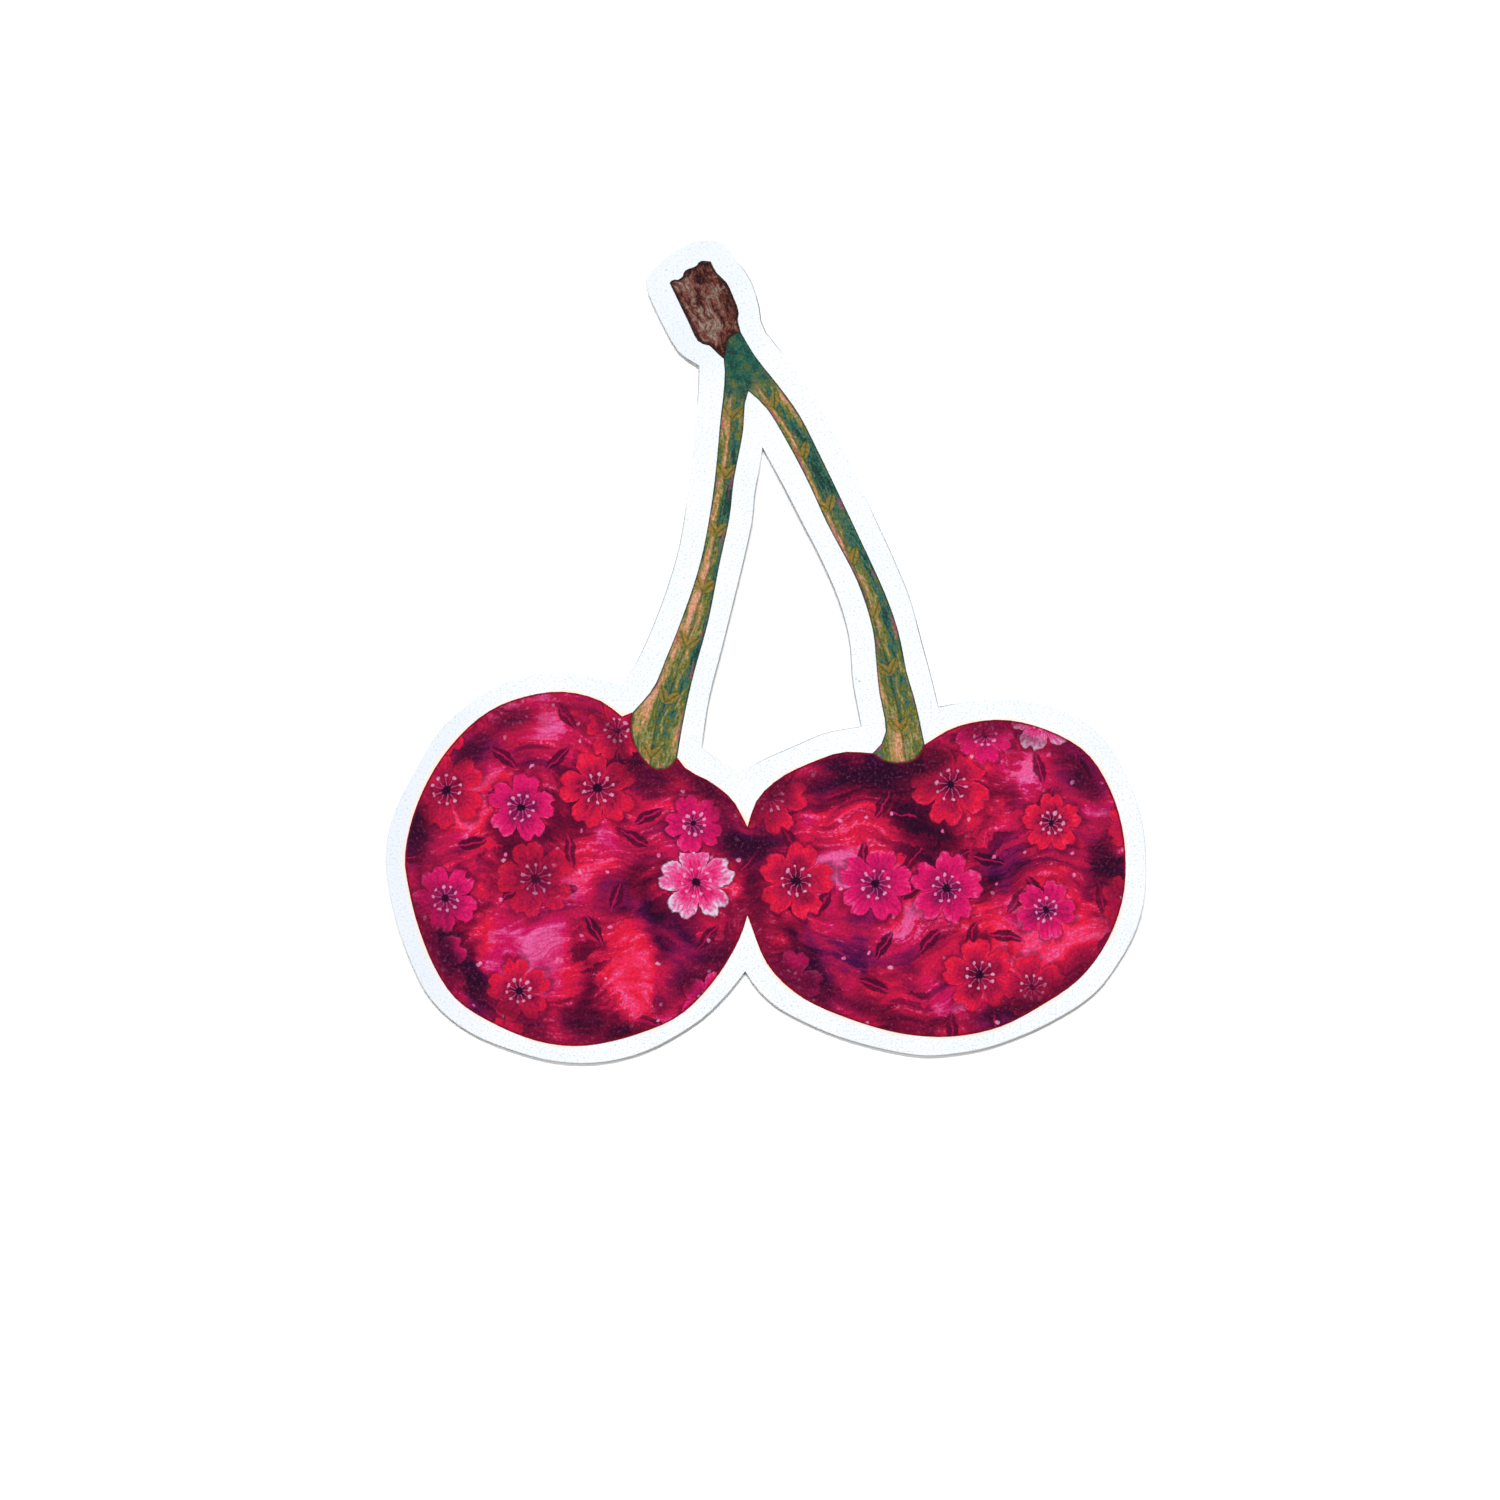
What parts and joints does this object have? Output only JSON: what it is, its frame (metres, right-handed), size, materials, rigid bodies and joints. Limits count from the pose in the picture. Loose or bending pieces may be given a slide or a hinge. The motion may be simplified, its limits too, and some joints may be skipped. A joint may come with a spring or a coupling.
{
  "type": "die-cut sticker",
  "caption": "Flat vinyl sticker, die-cut to the outline of cherries on a forked stem, with a printed face inside a plain white border, an adhesive back and a release liner.",
  "frame": {"origin": "on the surface the sticker lies on, under the middle of its outline", "axes": "+Z out of the printed face, +Y up the sticker towards the stub of the stem, +X to the right as the print is seen"},
  "size_m": [0.0704, 0.0762, 0.0003],
  "materials": {
    "liner": "matte siliconed release paper",
    "adhesive": "clear acrylic pressure-sensitive adhesive",
    "film": "satin white vinyl with a fine grain",
    "ink_crimson": "satin printed ink, brushed crimson, red and plum",
    "ink_green": "satin printed ink, olive, teal and ochre",
    "ink_brown": "satin printed ink, reddish brown"
  },
  "bodies": {
    "root": {"release_liner": "liner", "adhesive_layer": "adhesive", "face_film": "film", "print_crimson": "ink_crimson", "print_green": "ink_green", "print_brown": "ink_brown"}
  },
  "joints": []
}
